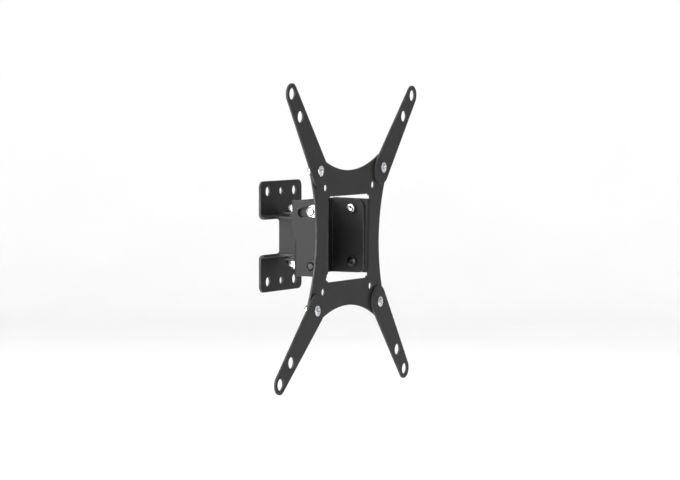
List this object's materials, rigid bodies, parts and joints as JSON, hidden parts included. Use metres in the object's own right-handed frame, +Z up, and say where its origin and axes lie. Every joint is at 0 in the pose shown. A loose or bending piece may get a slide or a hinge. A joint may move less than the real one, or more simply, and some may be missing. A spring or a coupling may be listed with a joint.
{
  "type": "full motion tv wall mount",
  "caption": "Compact wall mount for a small screen: drilled wall plate, upright swivel pivot, channel bracket and tilting star plate with turning arms.",
  "frame": {"origin": "on the wall, at the centre between the wall plate's two flags, in the plane of their rear faces", "axes": "+Z up, +Y into the wall, -Y towards the screen, +X to the right as seen from the screen side"},
  "size_m": [0.2129, 0.0625, 0.2239],
  "materials": {
    "black_coat": "fine-textured satin black powder coat on pressed steel",
    "black_zinc": "black zinc-plated steel, slightly glossy",
    "bright_zinc": "bright zinc-plated steel, smooth",
    "white_nylon": "natural white nylon, matt",
    "black_nylon": "black nylon, matt"
  },
  "bodies": {
    "wall": {"wall_plate": "black_coat", "upper_bushing": "black_nylon", "lower_bushing": "black_nylon"},
    "swivel": {"swivel_bracket": "black_coat", "swivel_yoke": "black_coat", "pivot_bolt": "bright_zinc", "pivot_washer_upper": "bright_zinc", "pivot_washer_lower": "bright_zinc", "pivot_nut": "bright_zinc", "yoke_rivet_upper_left": "black_zinc", "yoke_rivet_upper_right": "black_zinc", "yoke_rivet_lower_right": "black_zinc", "yoke_rivet_lower_left": "black_zinc", "lock_bolt_left": "bright_zinc", "lock_spacer_left": "white_nylon", "lock_washer_left": "bright_zinc", "lock_nut_left": "bright_zinc", "tilt_bolt_left": "black_zinc", "tilt_spacer_left": "white_nylon", "tilt_washer_left": "black_zinc", "tilt_nut_left": "black_zinc", "lock_bolt_right": "bright_zinc", "lock_spacer_right": "white_nylon", "lock_washer_right": "bright_zinc", "lock_nut_right": "bright_zinc", "tilt_bolt_right": "black_zinc", "tilt_spacer_right": "white_nylon", "tilt_washer_right": "black_zinc", "tilt_nut_right": "black_zinc"},
    "tilt": {"vesa_plate": "black_coat", "arm_bolt_upper_left": "bright_zinc", "arm_bolt_upper_right": "bright_zinc", "arm_bolt_lower_right": "bright_zinc", "arm_bolt_lower_left": "bright_zinc", "arm_washer_upper_left": "bright_zinc", "arm_washer_upper_right": "bright_zinc", "arm_washer_lower_right": "bright_zinc", "arm_washer_lower_left": "bright_zinc", "arm_nut_upper_left": "bright_zinc", "arm_nut_upper_right": "bright_zinc", "arm_nut_lower_right": "bright_zinc", "arm_nut_lower_left": "bright_zinc"},
    "arm_upper_left": {"arm_upper_left": "black_coat"},
    "arm_upper_right": {"arm_upper_right": "black_coat"},
    "arm_lower_right": {"arm_lower_right": "black_coat"},
    "arm_lower_left": {"arm_lower_left": "black_coat"}
  },
  "joints": [
    {"name": "swivel_hinge", "type": "hinge", "parent": "wall", "child": "swivel", "pos_m": [0, -0.0148, 0], "axis": [0, 0, 1], "range_deg": [-25, 25]},
    {"name": "tilt_hinge", "type": "hinge", "parent": "swivel", "child": "tilt", "pos_m": [0, -0.0464, -0.0195], "axis": [1, 0, 0], "range_deg": [-5, 15]},
    {"name": "arm_upper_left_turn", "type": "hinge", "parent": "tilt", "child": "arm_upper_left", "pos_m": [-0.05, -0.05994, 0.04965], "axis": [0, -0.9996, -0.0279], "range_deg": [-39, 51]},
    {"name": "arm_upper_right_turn", "type": "hinge", "parent": "tilt", "child": "arm_upper_right", "pos_m": [0.05, -0.05994, 0.04965], "axis": [0, 0.9996, 0.0279], "range_deg": [-41, 49]},
    {"name": "arm_lower_right_turn", "type": "hinge", "parent": "tilt", "child": "arm_lower_right", "pos_m": [0.05, -0.05714, -0.05031], "axis": [0, -0.9996, -0.0279], "range_deg": [-40, 50]},
    {"name": "arm_lower_left_turn", "type": "hinge", "parent": "tilt", "child": "arm_lower_left", "pos_m": [-0.05, -0.05714, -0.05031], "axis": [0, 0.9996, 0.0279], "range_deg": [-47, 43]}
  ]
}
